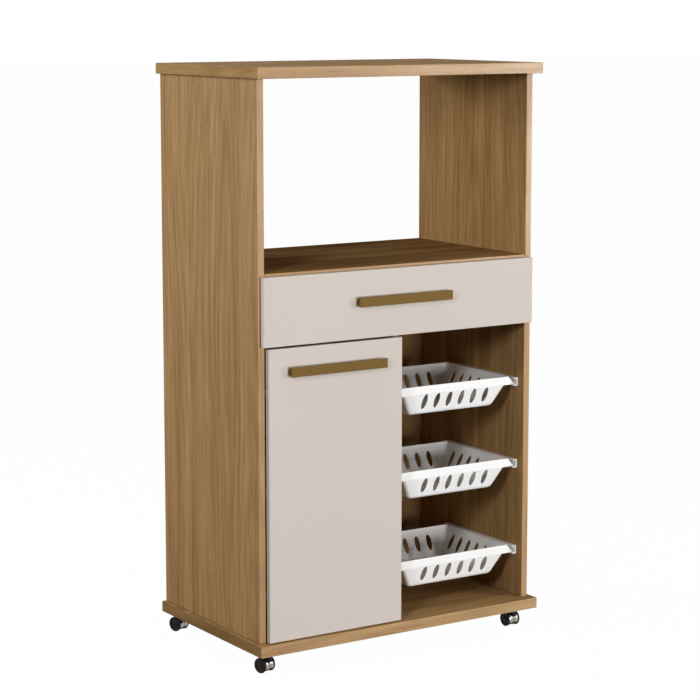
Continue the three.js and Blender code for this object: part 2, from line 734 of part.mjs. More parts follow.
// Mounting plate with rounded corners, four screw holes and the kingpin's hole.
function casterPlate() {
  const half = casterPlateSize / 2;
  const ring = roundedRing([-half, half], [-half, half], casterPlateCorner);
  const sheet = { depth: casterPlateThickness, bevelEnabled: false };
  const bottomZ = casterHeight - seam - casterPlateThickness;
  const plate = solidOf(new THREE.ExtrudeGeometry(outlineOf(ring), sheet).translate(0, 0, bottomZ));
  const screwAt = casterScrewSpacing / 2;
  const span = [bottomZ - overrun, casterHeight + overrun];
  const places = [[-screwAt, -screwAt], [screwAt, -screwAt], [-screwAt, screwAt], [screwAt, screwAt]];
  const holes = places.map((place) => bar(casterScrewRadius, "z", span[0], span[1], place));
  const pinHole = bar(kingpinRadius + seam, "z", span[0], span[1], [0, 0]);
  return without(plate, [...holes, pinHole]);
}

// Plate, hood, axle and two wheels at each corner of the base board.
function addCasters() {
  const stemX = boardWidth / 2 - casterInsetX;
  const stemY = { front: boardFrontY + casterFrontInset, back: boardBackY - casterBackInset };
  for (const [corner, turn] of Object.entries(casterTurns)) {
    const [end, side] = corner.split("_");
    const stand = new THREE.Group();
    stand.position.set(side === "left" ? -stemX : stemX, stemY[end], 0);
    cabinet.add(stand);
    addPiece(`caster_${corner}_plate`, casterPlate(), "steel", stand);
    const swivel = new THREE.Group();
    swivel.rotation.z = THREE.MathUtils.degToRad(turn);
    stand.add(swivel);
    addPiece(`caster_${corner}_hood`, casterHood(), "chrome", swivel);
    const axleEnd = webThickness / 2 + treadWidth;
    const axle = bar(axleRadius, "x", -axleEnd, axleEnd, [casterTrail, wheelRadius]);
    addPiece(`caster_${corner}_axle`, axle, "steel", swivel);
    for (const [wheelName, facing] of [["wheel_left", 180], ["wheel_right", 0]]) {
      const wheel = addPiece(`caster_${corner}_${wheelName}`, wheelGeometry(), "blackPlastic", swivel);
      wheel.position.set(0, casterTrail, wheelRadius);
      wheel.rotation.z = THREE.MathUtils.degToRad(facing);
    }
  }
}

addBoards();
addInnerShelf();
addDrawer();
addDoor();
for (const [name, rimShare] of Object.entries(basketRimShares)) {
  addBasket(name, rimShare);
}
addCasters();

export default cabinet;
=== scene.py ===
# Mobile kitchen cabinet on casters: surfaces, finishes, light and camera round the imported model.
import json
import math

import bmesh
import bpy
import numpy as np
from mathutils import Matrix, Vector


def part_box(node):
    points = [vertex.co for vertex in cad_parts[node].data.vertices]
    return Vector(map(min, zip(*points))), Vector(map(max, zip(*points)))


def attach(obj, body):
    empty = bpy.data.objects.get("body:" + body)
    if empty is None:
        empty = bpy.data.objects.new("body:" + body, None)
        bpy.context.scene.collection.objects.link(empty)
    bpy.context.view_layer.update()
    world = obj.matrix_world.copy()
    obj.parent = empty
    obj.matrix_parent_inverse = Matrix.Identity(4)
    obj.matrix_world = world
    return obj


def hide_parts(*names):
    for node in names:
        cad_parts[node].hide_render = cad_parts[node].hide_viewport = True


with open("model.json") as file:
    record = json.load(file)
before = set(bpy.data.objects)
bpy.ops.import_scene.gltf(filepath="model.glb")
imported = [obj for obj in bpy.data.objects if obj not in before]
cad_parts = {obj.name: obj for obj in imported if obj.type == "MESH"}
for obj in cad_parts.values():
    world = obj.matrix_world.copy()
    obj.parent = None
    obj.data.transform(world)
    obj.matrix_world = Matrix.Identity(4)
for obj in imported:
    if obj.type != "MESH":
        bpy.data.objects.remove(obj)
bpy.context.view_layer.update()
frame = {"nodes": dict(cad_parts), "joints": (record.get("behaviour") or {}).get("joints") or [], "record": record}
nodes = frame["nodes"]
jointOf = {joint["name"]: joint for joint in frame["joints"]}
bodyOf = {
    member: body
    for body, members in frame["record"]["behaviour"]["bodies"].items()
    for member in members
}
casterCorners = ("front_left", "front_right", "back_left", "back_right")
print("frame loaded:", len(nodes), "nodes")


# Small helpers for node trees.

def linearColor(red, green, blue):
    # Screen colour from 0 to 255 to the linear colour that a socket takes.
    share = np.array([red, green, blue]) / 255
    linear = np.where(share <= 0.04045, share / 12.92, ((share + 0.055) / 1.055) ** 2.4)
    return (*linear.tolist(), 1.0)


def addNode(tree, kind, inputs=None, **settings):
    made = tree.nodes.new("ShaderNode" + kind)
    for key, value in settings.items():
        setattr(made, key, value)
    for key, value in (inputs or {}).items():
        if isinstance(value, bpy.types.NodeSocket):
            tree.links.new(value, made.inputs[key])
        else:
            made.inputs[key].default_value = value
    return made


def newGroup(name, inputs, outputs):
    # Shader node group with named sockets; returns the tree, what goes in and the node it leaves by.
    group = bpy.data.node_groups.new(name, "ShaderNodeTree")
    for label, kind, value in inputs:
        socket = group.interface.new_socket(name=label, in_out="INPUT", socket_type=kind)
        if value is not None:
            socket.default_value = value
    for label, kind in outputs:
        group.interface.new_socket(name=label, in_out="OUTPUT", socket_type=kind)
    return group, group.nodes.new("NodeGroupInput").outputs, group.nodes.new("NodeGroupOutput").inputs


def stretchedNoise(tree, place, scale, detail=2.0, roughness=0.5, distortion=0.0):
    # Noise whose features are long where the scale along an axis is small.
    mapping = addNode(tree, "Mapping", {"Vector": place, "Scale": scale})
    settings = {"Vector": mapping.outputs[0], "Scale": 1.0, "Detail": detail,
                "Roughness": roughness, "Distortion": distortion}
    return addNode(tree, "TexNoise", settings)


def mapped(tree, value, low, high, start=0.0, end=1.0):
    inputs = {"Value": value, "From Min": low, "From Max": high, "To Min": start, "To Max": end}
    return addNode(tree, "MapRange", inputs).outputs["Result"]


def combined(tree, operation, first, second):
    return addNode(tree, "Math", {0: first, 1: second}, operation=operation).outputs[0]


# Shared patterns.

grainLook = {
    "dark": (132, 99, 58), "middle": (164, 128, 83), "light": (186, 152, 107),
    # Features per metre along, across and across the grain.
    "wander": (1.6, 4.0, 4.0), "bands": (0.8, 19.0, 19.0), "streaks": (3.2, 95.0, 95.0),
    "fibres": (11.0, 520.0, 520.0), "pores": (42.0, 1150.0, 1150.0), "contours": (0.7, 8.0, 8.0),
    "sway": 0.045, "contourTurns": 95.0, "spread": 0.17,
    "bandShare": 0.34, "streakShare": 0.40, "fibreShare": 0.20, "contourShare": 0.06,
    "poreFrom": 0.58, "poreTo": 0.72, "poreShade": 0.22, "poreRelief": 0.6,
    "dullest": 0.56, "glossiest": 0.46,
}


def makeWoodGrain(look):
    # Print of a straight-grained board. The grain runs along X of Place, in metres:
    # broad bands, streaks, fine fibres, short pores and faint contour lines of a long noise.
    group, taken, given = newGroup(
        "woodGrain",
        [("Place", "NodeSocketVector", None),
         ("Dark", "NodeSocketColor", linearColor(*look["dark"])),
         ("Middle", "NodeSocketColor", linearColor(*look["middle"])),
         ("Light", "NodeSocketColor", linearColor(*look["light"])),
         ("Contrast", "NodeSocketFloat", 1.0)],
        [("Color", "NodeSocketColor"), ("Height", "NodeSocketFloat"), ("Roughness", "NodeSocketFloat")],
    )
    wander = stretchedNoise(group, taken["Place"], look["wander"], 1.0)
    centred = addNode(group, "VectorMath", {0: wander.outputs["Color"], 1: (0.5, 0.5, 0.5)},
                      operation="SUBTRACT")
    sway = addNode(group, "VectorMath", {0: centred.outputs[0], 1: (0.0, look["sway"], look["sway"])},
                   operation="MULTIPLY")
    place = addNode(group, "VectorMath", {0: taken["Place"], 1: sway.outputs[0]}, operation="ADD")
    place = place.outputs[0]
    bands = stretchedNoise(group, place, look["bands"], 2.0).outputs["Fac"]
    streaks = stretchedNoise(group, place, look["streaks"], 4.0, 0.6).outputs["Fac"]
    fibres = stretchedNoise(group, place, look["fibres"], 3.0, 0.6).outputs["Fac"]
    pores = stretchedNoise(group, place, look["pores"], 1.0).outputs["Fac"]
    contours = stretchedNoise(group, place, look["contours"], 0.0).outputs["Fac"]
    turns = combined(group, "SINE", combined(group, "MULTIPLY", contours, look["contourTurns"]), 0.0)
    arcs = mapped(group, turns, -1.0, 1.0)
    tone = combined(group, "MULTIPLY", bands, look["bandShare"])
    for layer, share in ((streaks, "streakShare"), (fibres, "fibreShare"), (arcs, "contourShare")):
        tone = combined(group, "ADD", tone, combined(group, "MULTIPLY", layer, look[share]))
    centredTone = combined(group, "SUBTRACT", tone, 0.5)
    spread = combined(group, "MULTIPLY", centredTone, taken["Contrast"])
    share = mapped(group, spread, -look["spread"], look["spread"])
    lower = mapped(group, share, 0.0, 0.5)
    upper = mapped(group, share, 0.5, 1.0)
    base = addNode(group, "Mix", {0: lower, 6: taken["Dark"], 7: taken["Middle"]}, data_type="RGBA")
    base = addNode(group, "Mix", {0: upper, 6: base.outputs[2], 7: taken["Light"]}, data_type="RGBA")
    pore = mapped(group, pores, look["poreFrom"], look["poreTo"])
    poreShade = combined(group, "SUBTRACT", 1.0, combined(group, "MULTIPLY", pore, look["poreShade"]))
    shaded = addNode(group, "Mix", {0: 1.0, 6: base.outputs[2], 7: (1, 1, 1, 1)},
                     data_type="RGBA", blend_type="MULTIPLY")
    group.links.new(poreShade, shaded.inputs[7])
    relief = combined(group, "SUBTRACT", fibres, combined(group, "MULTIPLY", pore, look["poreRelief"]))
    group.links.new(shaded.outputs[2], given["Color"])
    group.links.new(relief, given["Height"])
    roughness = mapped(group, streaks, 0.3, 0.7, look["dullest"], look["glossiest"])
    group.links.new(roughness, given["Roughness"])
    return group


def makeFineSurface():
    # Slight unevenness of a finish: a fine relief, a cloudy shade and a wandering roughness.
    group, taken, given = newGroup(
        "fineSurface",
        [("Place", "NodeSocketVector", None),
         ("Base", "NodeSocketColor", (0.8, 0.8, 0.8, 1.0)),
         ("Grain", "NodeSocketFloat", 900.0),
         ("Cloud", "NodeSocketFloat", 6.0),
         ("Shade", "NodeSocketFloat", 0.03),
         ("Gloss", "NodeSocketFloat", 0.4),
         ("Wander", "NodeSocketFloat", 0.05)],
        [("Color", "NodeSocketColor"), ("Height", "NodeSocketFloat"), ("Roughness", "NodeSocketFloat")],
    )
    fine = addNode(group, "TexNoise", {"Vector": taken["Place"], "Scale": taken["Grain"], "Detail": 3.0})
    cloud = addNode(group, "TexNoise", {"Vector": taken["Place"], "Scale": taken["Cloud"], "Detail": 4.0})
    swing = mapped(group, cloud.outputs["Fac"], 0.3, 0.7, -1.0, 1.0)
    darker = combined(group, "MULTIPLY", combined(group, "SUBTRACT", 1.0, swing), taken["Shade"])
    keep = combined(group, "SUBTRACT", 1.0, darker)
    shaded = addNode(group, "Mix", {0: 1.0, 6: taken["Base"]}, data_type="RGBA", blend_type="MULTIPLY")
    group.links.new(keep, shaded.inputs[7])
    roughness = combined(group, "ADD", taken["Gloss"], combined(group, "MULTIPLY", swing, taken["Wander"]))
    group.links.new(shaded.outputs[2], given["Color"])
    group.links.new(fine.outputs["Fac"], given["Height"])
    group.links.new(roughness, given["Roughness"])
    return group


woodGrain = makeWoodGrain(grainLook)
fineSurface = makeFineSurface()


def newMaterial(name):
    material = bpy.data.materials.new(name)
    material.use_nodes = True
    tree = material.node_tree
    return material, tree, tree.nodes["Principled BSDF"]


# Finishes.

boardPrint = {
    "top_board": ("x", (0.10, 0.31, 0.12)),
    "base_board": ("x", (1.40, 0.77, 0.52)),
    "niche_shelf": ("x", (2.10, 1.45, 0.33)),
    "drawer_floor": ("x", (3.20, 0.15, 0.91)),
    "inner_shelf": ("x", (4.10, 0.55, 0.21)),
    "side_panel_left": ("z", (0.30, 0.22, 0.48)),
    "side_panel_right": ("z", (1.70, 0.95, 0.13)),
    "divider_panel": ("z", (2.60, 0.41, 0.71)),
    "drawer_side_left": ("y", (0.90, 1.25, 0.37)),
    "drawer_side_right": ("y", (1.30, 0.65, 1.07)),
    "drawer_back": ("x", (2.90, 0.85, 0.61)),
}
# The boards' broad faces and their front strips, the front strips printed lighter as painted light; sheen of the
# outer faces, and how much painted shade darkens the end strips.
boardFinishAndPaintedLight = {"face": {"roughness": 0.52, "specular": 0.0, "tone": 1.0},
              # The front strips' tone of 1.14 is painted light: the same print made lighter where light falls on
              # the front.
              "edge": {"roughness": 0.30, "specular": 0.6, "tone": 1.14}}
outerSheen = {"side_panel_left": 0.045, "top_board": 0.005}
# Painted shade: the end strips are printed darker, the base board's most, standing in for less light low down near
# the floor.
endStripPaintedShade = {"top_board": 0.96, "base_board": 0.74}
reliefDepth = 0.0002
boardRelief = 0.25


def woodMaterial(name, grainAxis, offset, gloss, sheen, ends):
    # Board print along its own grain axis; on boards that run along X the end strips run along Y. The tone
    # lightens the forward strips as painted light, and the end strips are darkened as painted shade.
    material, tree, shader = newMaterial(name)
    source = addNode(tree, "TexCoord")
    parts = addNode(tree, "SeparateXYZ", {0: source.outputs["Object"]}).outputs
    order = {"x": "XYZ", "y": "YXZ", "z": "ZXY"}[grainAxis]
    along = addNode(tree, "CombineXYZ", {index: parts[axis] for index, axis in enumerate(order)})
    place = along.outputs[0]
    # Painted light and painted shade: the tone lightens the forward strips, and below the end strips are darkened.
    shade = gloss["tone"]
    if grainAxis == "x":
        across = addNode(tree, "CombineXYZ", {0: parts["Y"], 1: parts["Z"], 2: parts["X"]})
        facing = addNode(tree, "SeparateXYZ", {0: source.outputs["Normal"]}).outputs["X"]
        sideways = addNode(tree, "Math", {0: facing}, operation="ABSOLUTE").outputs[0]
        isEnd = combined(tree, "GREATER_THAN", sideways, 0.7)
        mixed = addNode(tree, "Mix", {0: isEnd, 4: place, 5: across.outputs[0]}, data_type="VECTOR")
        place = mixed.outputs[1]
        # Painted shade: the end strips are darkened by the board's factor.
        shade = combined(tree, "SUBTRACT", shade, combined(tree, "MULTIPLY", isEnd, 1.0 - ends))
    shifted = addNode(tree, "Mapping", {"Vector": place, "Location": offset}).outputs[0]
    grain = addNode(tree, "Group", {"Place": shifted}, node_tree=woodGrain)
    bump = addNode(tree, "Bump", {"Strength": boardRelief, "Distance": reliefDepth,
                                  "Height": grain.outputs["Height"]})
    litAndShadedPrint = addNode(tree, "VectorMath", {0: grain.outputs["Color"], "Scale": shade}, operation="SCALE")
    tree.links.new(litAndShadedPrint.outputs[0], shader.inputs["Base Color"])
    rough = combined(tree, "ADD", grain.outputs["Roughness"], gloss["roughness"] - 0.5)
    tree.links.new(rough, shader.inputs["Roughness"])
    tree.links.new(bump.outputs[0], shader.inputs["Normal"])
    shader.inputs["Specular IOR Level"].default_value = max(gloss["specular"], sheen)
    return material


finishes = {
    "satinFront": {"color": (209, 199, 191), "grain": 1400.0, "cloud": 3.0, "shade": 0.008,
                   "gloss": 0.44, "wander": 0.03, "bump": 0.06, "specular": 0.12},
    "oldGold": {"color": (106, 81, 38), "grain": 260.0, "cloud": 14.0, "shade": 0.05,
                "gloss": 0.42, "wander": 0.06, "bump": 0.05, "metallic": 0.3, "specular": 0.12,
                "stretch": (0.05, 1, 1)},
    "whitePlastic": {"color": (250, 250, 249), "grain": 1100.0, "cloud": 9.0, "shade": 0.01,
                     "gloss": 0.40, "wander": 0.05, "bump": 0.08, "specular": 0.4},
    "platedSteel": {"color": (178, 178, 174), "grain": 700.0, "cloud": 60.0, "shade": 0.06,
                    "gloss": 0.32, "wander": 0.08, "bump": 0.10, "metallic": 1.0},
    "chromeHood": {"color": (158, 153, 146), "grain": 500.0, "cloud": 45.0, "shade": 0.03,
                   "gloss": 0.18, "wander": 0.05, "bump": 0.02, "metallic": 1.0},
    "blackWheel": {"color": (25, 20, 17), "grain": 1500.0, "cloud": 70.0, "shade": 0.12,
                   "gloss": 0.46, "wander": 0.10, "bump": 0.15, "specular": 0.12},
    "clearBuffer": {"color": (226, 226, 222), "grain": 900.0, "cloud": 30.0, "shade": 0.02,
                    "gloss": 0.30, "wander": 0.05, "bump": 0.05, "specular": 0.4},
    "backingBoard": {"color": (110, 78, 41), "grain": 620.0, "cloud": 38.0, "shade": 0.10,
                     "gloss": 0.66, "wander": 0.08, "bump": 0.35, "specular": 0.2},
}


def plainMaterial(name, look):
    material, tree, shader = newMaterial(name)
    source = addNode(tree, "TexCoord")
    mapping = addNode(tree, "Mapping", {"Vector": source.outputs["Object"],
                                        "Scale": look.get("stretch", (1, 1, 1))})
    values = {"Place": mapping.outputs[0], "Base": linearColor(*look["color"]), "Grain": look["grain"],
              "Cloud": look["cloud"], "Shade": look["shade"], "Gloss": look["gloss"],
              "Wander": look["wander"]}
    surface = addNode(tree, "Group", values, node_tree=fineSurface)
    bump = addNode(tree, "Bump", {"Strength": look["bump"], "Distance": reliefDepth,
                                  "Height": surface.outputs["Height"]})
    tree.links.new(surface.outputs["Color"], shader.inputs["Base Color"])
    tree.links.new(surface.outputs["Roughness"], shader.inputs["Roughness"])
    tree.links.new(bump.outputs[0], shader.inputs["Normal"])
    shader.inputs["Metallic"].default_value = look.get("metallic", 0.0)
    shader.inputs["Specular IOR Level"].default_value = look.get("specular", 0.5)
    return material


materials = {name: plainMaterial(name, look) for name, look in finishes.items()}
for name, (grainAxis, offset) in boardPrint.items():
    for part, gloss in boardFinishAndPaintedLight.items():
        materials[f"{name}.{part}"] = woodMaterial(f"wood.{name}.{part}", grainAxis, offset, gloss,
                                                   outerSheen.get(name, 0.0), endStripPaintedShade.get(name, 1.0))
print("finishes made:", len(materials))


# Surfaces.

meshLook = {"merge": 1e-6, "nodeMerge": 2e-6, "flat": 0.6, "bevelFrom": 28}
# How far edges are eased, in metres.
edgeEase = {"board": 0.0004, "thinBoard": 0.0003, "front": 0.0005, "plastic": 0.0004, "steel": 0.0003}


def gridFaces(rows, columns, closed=True):
    # Four corners for each cell of a grid whose columns run in a ring when closed.
    index = np.arange(rows * columns).reshape(rows, columns)
    if closed:
        index = np.hstack([index, index[:, :1]])
    cells = [index[:-1, :-1], index[1:, :-1], index[1:, 1:], index[:-1, 1:]]
    return np.stack(cells, -1)


def newPiece(name, points, faces, finish, body, replaced=(), bevel=None, smooth=40):
    # Mesh from arrays, merged, turned outwards, shaded smooth up to an angle and set on its body.
    mesh = bpy.data.meshes.new(name)
    mesh.from_pydata(np.asarray(points, float).tolist(), [], faces)
    tidied = bmesh.new()
    tidied.from_mesh(mesh)
    bmesh.ops.remove_doubles(tidied, verts=tidied.verts, dist=meshLook["merge"])
    bmesh.ops.recalc_face_normals(tidied, faces=tidied.faces)
    tidied.to_mesh(mesh)
    tidied.free()
    return setPiece(name, mesh, finish, body, replaced, bevel, smooth)


def setPiece(name, mesh, finish, body, replaced=(), bevel=None, smooth=40):
    mesh.shade_smooth()
    if bevel is None:
        mesh.set_sharp_from_angle(angle=math.radians(smooth))
    mesh.materials.append(materials[finish])
    piece = bpy.data.objects.new(name, mesh)
    bpy.context.scene.collection.objects.link(piece)
    if bevel:
        width, segments = bevel
        rounding = piece.modifiers.new("edges", "BEVEL")
        rounding.width = width
        rounding.segments = segments
        rounding.limit_method = "ANGLE"
        rounding.angle_limit = math.radians(meshLook["bevelFrom"])
        rounding.harden_normals = True
        rounding.use_clamp_overlap = True
    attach(piece, body)
    if replaced:
        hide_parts(*replaced)
    return piece


def softened(nodeName, finish, width, segments=2):
    # The node's own shape, its triangles joined into faces and its edges rounded.
    source = nodes[nodeName].data
    places = np.empty(len(source.vertices) * 3, np.float32)
    source.vertices.foreach_get("co", places)
    corners = np.empty(len(source.loops), np.int32)
    source.loops.foreach_get("vertex_index", corners)
    mesh = bpy.data.meshes.new(nodeName + "_finished")
    mesh.from_pydata(places.reshape(-1, 3).tolist(), [], corners.reshape(-1, 3).tolist())
    joined = bmesh.new()
    joined.from_mesh(mesh)
    bmesh.ops.remove_doubles(joined, verts=joined.verts, dist=meshLook["nodeMerge"])
    bmesh.ops.dissolve_limit(joined, angle_limit=math.radians(meshLook["flat"]),
                             verts=joined.verts, edges=joined.edges)
    joined.to_mesh(mesh)
    joined.free()
    return setPiece(nodeName + "_finished", mesh, finish, bodyOf[nodeName], (nodeName,),
                    (width, segments))


def refinish(nodeName, finish):
    # The node keeps its shape and gets a finish.
    nodes[nodeName].data.materials.clear()
    nodes[nodeName].data.materials.append(materials[finish])


def revolved(profile, centre, axis, segments=64):
    # Profile of (radius, along) pairs turned once about the axis: centre + along * axis
    # + radius * (cos of the angle * one side + sin of the angle * the other side).
    axis = np.asarray(axis, float) / np.linalg.norm(axis)
    guide = np.array([0.0, 0.0, 1.0]) if abs(axis[2]) < 0.9 else np.array([1.0, 0.0, 0.0])
    side = np.cross(guide, axis)
    side /= np.linalg.norm(side)
    other = np.cross(axis, side)
    angles = np.linspace(0, 2 * math.pi, segments, endpoint=False)
    radii, alongs = np.array(profile, float).T
    turned = np.cos(angles)[:, None] * side + np.sin(angles)[:, None] * other
    points = np.asarray(centre) + alongs[:, None, None] * axis + radii[:, None, None] * turned[None]
    return points.reshape(-1, 3), gridFaces(len(radii), segments).reshape(-1, 4).tolist()


def swept(outline, left, right):
    # Closed outline of (Y, Z) pairs carried straight along X from left to right, capped at both ends.
    outline = np.asarray(outline, float)
    count = len(outline)
    spread = [np.insert(outline, 0, place, axis=1) for place in (left, right)]
    sides = gridFaces(2, count).reshape(-1, 4).tolist()
    return np.vstack(spread), sides + [list(range(count)), list(range(count, 2 * count))]


def gathered(shapes):
    # Several shapes as one: their points stacked and their faces counted on.
    points, faces, start = [], [], 0
    for shapePoints, shapeFaces in shapes:
        points.append(np.asarray(shapePoints, float))
        faces += [[corner + start for corner in face] for face in shapeFaces]
        start += len(shapePoints)
    return np.vstack(points), faces


# Boards and fronts.

for nodeName in boardPrint:
    board = softened(nodeName, nodeName + ".face", edgeEase["board"])
    board.data.materials.append(materials[nodeName + ".edge"])
    normals = np.empty(len(board.data.polygons) * 3, np.float32)
    board.data.polygons.foreach_get("normal", normals)
    # The forward-looking faces take the second finish, printed lighter as painted light and glossier.
    litForwardFaces = normals.reshape(-1, 3)[:, 1] < -0.5  # faces that look forward
    board.data.polygons.foreach_set("material_index", litForwardFaces.astype(np.int32))
for nodeName in ("back_panel", "drawer_bottom"):
    softened(nodeName, "backingBoard", edgeEase["thinBoard"])
for nodeName in ("door_panel", "drawer_front"):
    softened(nodeName, "satinFront", edgeEase["front"], 3)
print("boards and fronts finished")


# Handles.

handleLook = {"root": 0.009, "lip": 0.003, "round": 0.0009, "roundSteps": 4}


def handlePiece(nodeName):
    # Flared bar: a narrow root on the front, straight flanks that open to a flat face with a lip.
    low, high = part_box(nodeName)
    root = handleLook["root"] / 2
    middle = (low.z + high.z) / 2
    outline = [
        (high.y, middle - root), (high.y, middle + root),
        (low.y + handleLook["lip"], high.z), (low.y, high.z),
        (low.y, low.z), (low.y + handleLook["lip"], low.z),
    ]
    points, faces = swept(outline, low.x, high.x)
    newPiece(nodeName + "_bar", points, faces, "oldGold", bodyOf[nodeName], (nodeName,),
             (handleLook["round"], handleLook["roundSteps"]))


handlePiece("drawer_handle")
handlePiece("door_handle")
print("handles finished")


# Slotted baskets.

basketLook = {
    "wall": 0.002, "height": 0.0615, "skirt": 0.018, "flare": 0.014, "depth": 0.224,
    "sideTaper": 0.034, "frontTaper": 0.0175, "backTaper": 0.030, "step": 0.0025,
    "corner": 0.007, "skirtCorner": 0.001, "leastCorner": 0.0006, "fillet": 0.005, "filletSteps": 6,
    "slotWidth": 0.0132, "slotLength": 0.032, "slotShift": 0.0035, "slots": 6, "frontLean": 7.5,
    "pitch": 0.0307, "sidePitch": 0.0293, "frontSlotHeight": 0.0274, "slotHeight": 0.0315,
    "cell": 0.0093, "cellColumns": 6, "cellRows": 8, "cornerSteps": 6, "cornerRoom": 0.001,
    "ease": 0.0004,
    # Heights at the front wall and at the other walls: foot and head of the slots' cells, and the
    # crotch between wall and skirt with its rise.
    "cellFoot": (0.0095, 0.0138), "cellHead": (0.0439, 0.0492),
    "crotch": (0.0448, 0.0572), "crotchRise": (0.0002, 0.0012), "crotchSteps": 4,
    # Heights of the rings over the slots, round the rim and down the skirt.
    "wallTop": 0.0545, "rimFoot": 0.0596, "rimRise": 0.0019, "rimSteps": 8,
    "skirtRings": (0.0562, 0.0520, 0.0480), "skirtFoot": 0.0441, "skirtRise": -0.0006,
    "skirtShares": (0.35, 0.7),
}


def basketColumns(look):
    # Columns round the basket, counter-clockwise from the front: at each straight side those of
    # the slot cells, at each corner a quarter circle. A column's place in a ring is
    # (cornerX * (half width - radius) + roundX * radius + alongX, and the same in Y).
    rowY = look["depth"] / 2 + (look["frontTaper"] - look["backTaper"]) / 4
    steps = np.linspace(-look["cell"], look["cell"], look["cellColumns"] + 1)
    order = np.arange(look["slots"]) - (look["slots"] - 1) / 2
    sides = [
        ("front", look["slotShift"] + order * look["pitch"], 1),
        ("right", rowY + order * look["sidePitch"], 1),
        ("back", look["slotShift"] + order[::-1] * look["pitch"], -1),
        ("left", rowY + order[::-1] * look["sidePitch"], -1),
    ]
    rows, cells = [], []
    for turn, (side, centres, facing) in enumerate(sides):
        for centre in centres:
            cells.append({"side": side, "column": len(rows), "centre": centre, "facing": facing})
            for step in steps:
                place = centre + facing * step
                rows.append({
                    "front": (0, 0, place, 1, 0, -1, 0, 1), "right": (1, 1, 0, 0, 0, 0, place, 0),
                    "back": (0, 0, place, 0, 1, 1, 0, 0), "left": (-1, -1, 0, 0, 0, 0, place, 0),
                }[side])
        angles = -math.pi / 2 + (turn + np.linspace(0, 1, look["cornerSteps"] + 1)) * math.pi / 2
        cornerX = 1 if turn in (0, 1) else -1
        near = 1 if turn in (0, 3) else 0
        for step, angle in enumerate(angles):
            share = step / look["cornerSteps"]
            front = {0: 1 - share, 3: share}.get(turn, 0)
            rows.append((cornerX, math.cos(angle), 0, near, 1 - near, math.sin(angle), 0, front))
    names = ("cornerX", "roundX", "alongX", "near", "far", "roundY", "alongY", "front")
    return dict(zip(names, np.array(rows, float).T)), cells, rowY


def basketPoints(look, halfTip):
    # All rings of the closed shell, from the floor's inside up the wall, over the rim, down the
    # skirt and up its inside, then down the outside of the wall to the bottom.
    columns, cells, rowY = basketColumns(look)
    height, band = look["height"], look["height"] - look["skirt"]
    halfRim = halfTip - look["flare"]
    wall, fillet, front = look["wall"], look["fillet"], columns["front"]

    def tub(z, inset):
        half = halfRim - look["sideTaper"] * (1 - z / height) - inset
        near = np.interp(z, [0, band, height], [look["frontTaper"], look["step"], look["step"] / 2])
        far = look["depth"] - look["backTaper"] * (1 - z / height) - inset
        return np.array(np.broadcast_arrays(half, near + inset, far, look["corner"] - inset / 3, z))

    def skirt(z, inset):
        half = halfRim + look["flare"] * (height - z) / look["skirt"] - inset
        radius = look["skirtCorner"] + (look["corner"] - look["skirtCorner"]) * (z - band) / look["skirt"]
        return np.array(np.broadcast_arrays(half, inset, look["depth"] - inset,
                                            np.maximum(radius, look["leastCorner"]), z))

    def bridge(start, end, rise, steps):
        # Half round from one ring to the next: across by the cosine, up by the sine.
        turned = []
        for angle in np.linspace(0, math.pi, steps + 1):
            mixed = start + (end - start) * (1 - math.cos(angle)) / 2
            mixed[4] = mixed[4] + rise * math.sin(angle)
            turned.append(mixed)
        return turned

    def fromFront(pair):
        # The first height at the front wall, the second at the others, mixed round the corners.
        return front * pair[0] + (1 - front) * pair[1]

    flat = np.ones_like(front)
    footZ, headZ = fromFront(look["cellFoot"]), fromFront(look["cellHead"])
    crotchZ, crotchRise = fromFront(look["crotch"]), fromFront(look["crotchRise"])
    rimZ, skirtZ = look["rimFoot"] * flat, look["skirtFoot"]
    rings = []
    for angle in np.linspace(0, math.pi / 2, look["filletSteps"]):  # floor and its fillet
        rings.append(tub((wall + fillet * (1 - math.cos(angle))) * flat,
                         wall + fillet * (1 - math.sin(angle))))
    innerStart = len(rings)
    for share in np.linspace(0, 1, look["cellRows"] + 1):
        rings.append(tub(footZ + (headZ - footZ) * share, wall))
    rings.append(tub(look["wallTop"] * flat, wall))
    rings += bridge(tub(rimZ, wall), skirt(rimZ, 0), look["rimRise"], look["rimSteps"])
    for ringZ in look["skirtRings"]:
        rings.append(skirt(ringZ * flat, 0))
    rings += bridge(skirt(skirtZ * flat, 0), skirt(skirtZ * flat, wall), look["skirtRise"],
                    look["crotchSteps"])
    for share in look["skirtShares"]:
        rings.append(skirt(skirtZ + (crotchZ - skirtZ) * share, wall))
    rings += bridge(skirt(crotchZ, wall), tub(crotchZ, 0), crotchRise, look["crotchSteps"])
    rings.append(tub(crotchZ * 0.5 + headZ * 0.5, 0))
    outerStart = len(rings)
    for share in np.linspace(1, 0, look["cellRows"] + 1):
        rings.append(tub(footZ + (headZ - footZ) * share, 0))
    outerFillet = fillet + wall / 2
    for angle in np.linspace(math.pi / 2, 0, look["filletSteps"] + 1):
        rings.append(tub(outerFillet * (1 - math.cos(angle)) * flat,
                         outerFillet * (1 - math.sin(angle))))
    rings = np.array([np.broadcast_to(ring, (5, len(flat))) for ring in rings])
    half, near, far, radius, z = rings.transpose(1, 0, 2)
    # Along the sides the cells are drawn in where the rounded corners leave too little room.
    reach = rowY + np.where(columns["alongY"] >= rowY, 1, -1) * (
        (look["slots"] - 1) / 2 * look["sidePitch"] + look["cell"])
    room = np.where(columns["alongY"] >= rowY, far - radius - look["cornerRoom"],
                    near + radius + look["cornerRoom"])
    fit = np.minimum(1.0, np.abs(room - rowY) / np.abs(reach - rowY))
    alongY = np.where(columns["alongY"] > 0, rowY + (columns["alongY"] - rowY) * fit, 0)
    x = columns["cornerX"] * (half - radius) + columns["roundX"] * radius + columns["alongX"]
    y = (columns["near"] * (near + radius) + columns["far"] * (far - radius)
         + columns["roundY"] * radius + alongY)
    return np.stack([x, y, z], -1), cells, innerStart, outerStart, tub


